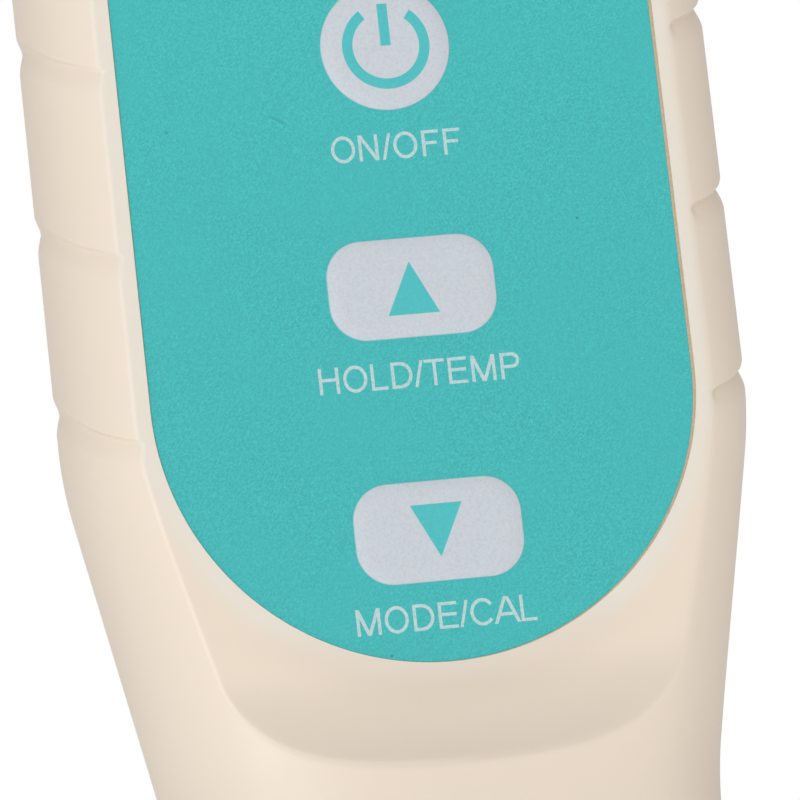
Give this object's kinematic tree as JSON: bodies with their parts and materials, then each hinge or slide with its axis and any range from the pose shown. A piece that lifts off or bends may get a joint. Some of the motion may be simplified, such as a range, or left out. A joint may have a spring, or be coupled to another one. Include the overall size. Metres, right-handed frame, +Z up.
{
  "type": "water quality tester",
  "caption": "Pen-style water tester: tapered housing with front keypad and display, battery cap, screw-collared probe and protective cap.",
  "frame": {"origin": "on the probe's axis, at the foot of the protective cap that the tester stands on", "axes": "+Z up the long axis to the lanyard eye, -Y out of the display and keypad face, +X to the right"},
  "size_m": [0.041, 0.0286, 0.1888],
  "materials": {
    "housing_plastic": "satin cream ABS with a fine moulded grain",
    "cap_plastic": "satin teal ABS",
    "overlay_film": "fine-grained teal polyester film",
    "key_plastic": "smooth pale bluish-grey embossed pad",
    "window_plastic": "clear acrylic",
    "display_glass": "grey-green display glass",
    "dark_plastic": "black ABS",
    "board_laminate": "green solder mask",
    "part_metal": "tinned cans and metal-clad switches",
    "screw_steel": "stainless steel",
    "cell_steel": "nickel-plated steel can",
    "contact_brass": "gold-flashed contact metal",
    "seal_rubber": "black nitrile rubber",
    "ribbon_plastic": "amber polyimide film",
    "probe_plastic": "black moulded resin",
    "bulb_glass": "thin clear glass",
    "junction_ceramic": "white porous ceramic",
    "clear_plastic": "clear moulded styrene",
    "sponge_foam": "pale yellow cellulose sponge"
  },
  "bodies": {
    "housing": {"front_shell": "housing_plastic", "rear_shell": "housing_plastic", "shell_gasket": "seal_rubber", "front_overlay": "overlay_film", "display_window": "window_plastic", "lcd_glass": "display_glass", "lcd_frame": "dark_plastic", "lcd_connectors": "seal_rubber", "main_board": "board_laminate", "processor_chip": "dark_plastic", "board_parts": "part_metal", "board_screws": "screw_steel", "shell_screws": "screw_steel", "battery_tube": "dark_plastic", "battery_tube_oring": "seal_rubber", "battery_spring": "contact_brass", "battery_contact_strip": "contact_brass", "battery_cell_1": "cell_steel", "battery_cell_2": "cell_steel", "battery_cell_3": "cell_steel", "battery_cell_4": "cell_steel", "probe_spigot": "dark_plastic", "socket_pins": "contact_brass", "socket_board": "board_laminate", "ribbon_cable": "ribbon_plastic", "power_switch": "part_metal", "up_switch": "part_metal", "down_switch": "part_metal"},
    "battery_lid": {"battery_cap": "cap_plastic", "battery_cap_contact": "contact_brass"},
    "probe": {"probe_stem": "probe_plastic", "probe_plug_oring": "seal_rubber", "probe_cap_oring": "seal_rubber", "probe_guard": "probe_plastic", "ph_bulb": "bulb_glass", "temperature_sensor": "screw_steel", "conductivity_pins": "screw_steel", "reference_junction": "junction_ceramic"},
    "collar": {"probe_collar": "cap_plastic"},
    "cap": {"protective_cap": "clear_plastic", "cap_sponge": "sponge_foam"},
    "power_button": {"power_key": "key_plastic", "power_plunger": "dark_plastic"},
    "up_button": {"up_key": "key_plastic", "up_plunger": "dark_plastic"},
    "down_button": {"down_key": "key_plastic", "down_plunger": "dark_plastic"}
  },
  "joints": [
    {"name": "battery_lid_pull", "type": "slide", "parent": "housing", "child": "battery_lid", "axis": [0, 0, 1], "range_m": [0, 0.018]},
    {"name": "probe_pull", "type": "slide", "parent": "housing", "child": "probe", "axis": [0, 0, -1], "range_m": [0, 0.018]},
    {"name": "collar_turn", "type": "hinge", "parent": "probe", "child": "collar", "pos_m": [0, 0, 0.0535], "axis": [0, 0, 1], "range_deg": [0, 540]},
    {"name": "cap_pull", "type": "slide", "parent": "probe", "child": "cap", "axis": [0, 0, -1], "range_m": [0, 0.042]},
    {"name": "power_press", "type": "slide", "parent": "housing", "child": "power_button", "axis": [0, 1, 0], "range_m": [0, 0.00035], "stiffness_N_per_m": 2000, "springref_m": -0.0002},
    {"name": "up_press", "type": "slide", "parent": "housing", "child": "up_button", "axis": [0, 1, 0], "range_m": [0, 0.00035], "stiffness_N_per_m": 2000, "springref_m": -0.0002},
    {"name": "down_press", "type": "slide", "parent": "housing", "child": "down_button", "axis": [0, 1, 0], "range_m": [0, 0.00035], "stiffness_N_per_m": 2000, "springref_m": -0.0002}
  ]
}
